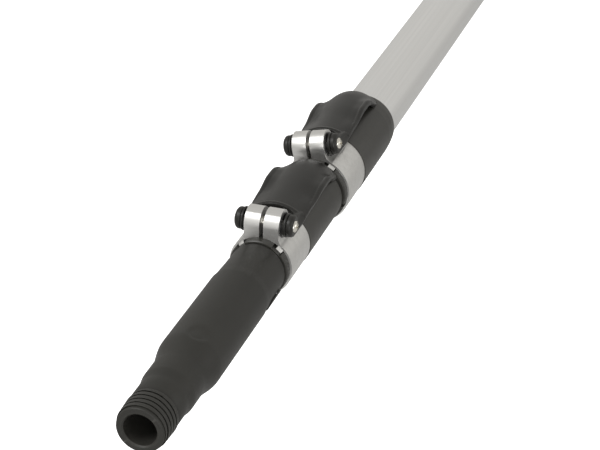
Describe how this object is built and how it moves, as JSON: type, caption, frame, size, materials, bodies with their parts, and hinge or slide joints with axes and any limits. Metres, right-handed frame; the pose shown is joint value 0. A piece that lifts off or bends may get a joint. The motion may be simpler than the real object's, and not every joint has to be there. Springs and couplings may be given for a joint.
{
  "type": "telescopic cleaning pole",
  "caption": "Telescopic window cleaning pole: nested aluminium tubes, two cam-lever clamps with split collars, and a black tip with a tool thread.",
  "frame": {"origin": "centre of the tip's bore at its front face, on the pole's axis", "axes": "+X along the pole from the threaded tip to the end cap, +Z from the pole's axis towards the front clamp's screw, +Y to the left of the pole seen from the end cap with the levers up"},
  "size_m": [1.4353, 0.0416, 0.0528],
  "materials": {
    "anodised_tube": "satin silver anodised",
    "collar_aluminium": "satin extruded",
    "zinc_steel": "bright zinc plated",
    "lever_plastic": "satin moulded nylon",
    "tip_plastic": "fine textured moulded nylon",
    "black_plastic": "satin moulded nylon",
    "bearing_plastic": "smooth acetal"
  },
  "bodies": {
    "root": {"outer_tube": "anodised_tube", "end_cap": "black_plastic", "rear_ferrule": "black_plastic", "rear_collar": "collar_aluminium", "rear_cam_washers": "bearing_plastic"},
    "rear_lever": {"rear_lever": "lever_plastic", "rear_screw": "zinc_steel", "rear_nut": "zinc_steel", "rear_nut_cap": "black_plastic"},
    "middle_guide": {"middle_guide_bush": "bearing_plastic"},
    "middle_section": {"middle_tube": "anodised_tube", "front_ferrule": "black_plastic", "front_collar": "collar_aluminium", "front_cam_washers": "bearing_plastic"},
    "front_lever": {"front_lever": "lever_plastic", "front_screw": "zinc_steel", "front_nut": "zinc_steel", "front_nut_cap": "black_plastic"},
    "inner_guide": {"inner_guide_bush": "bearing_plastic"},
    "inner_section": {"inner_tube": "anodised_tube", "tip_connector": "tip_plastic", "retaining_pin": "tip_plastic"}
  },
  "joints": [
    {"name": "middle_slide", "type": "slide", "parent": "root", "child": "middle_guide", "axis": [-1, 0, 0], "range_m": [0, 1]},
    {"name": "middle_turn", "type": "hinge", "parent": "middle_guide", "child": "middle_section", "pos_m": [1.2413, 0, 0], "axis": [1, 0, 0], "continuous": true},
    {"name": "inner_slide", "type": "slide", "parent": "middle_section", "child": "inner_guide", "axis": [-1, 0, 0], "range_m": [0, 1]},
    {"name": "inner_turn", "type": "hinge", "parent": "inner_guide", "child": "inner_section", "pos_m": [1.1413, 0, 0], "axis": [1, 0, 0], "continuous": true},
    {"name": "front_lever_hinge", "type": "hinge", "parent": "middle_section", "child": "front_lever", "pos_m": [0.1679, 0, 0.0213], "axis": [0, -1, 0], "range_deg": [0, 115]},
    {"name": "rear_lever_hinge", "type": "hinge", "parent": "root", "child": "rear_lever", "pos_m": [0.2595, 0.00513, 0.02314], "axis": [0, -0.9763, 0.2164], "range_deg": [0, 115]}
  ]
}
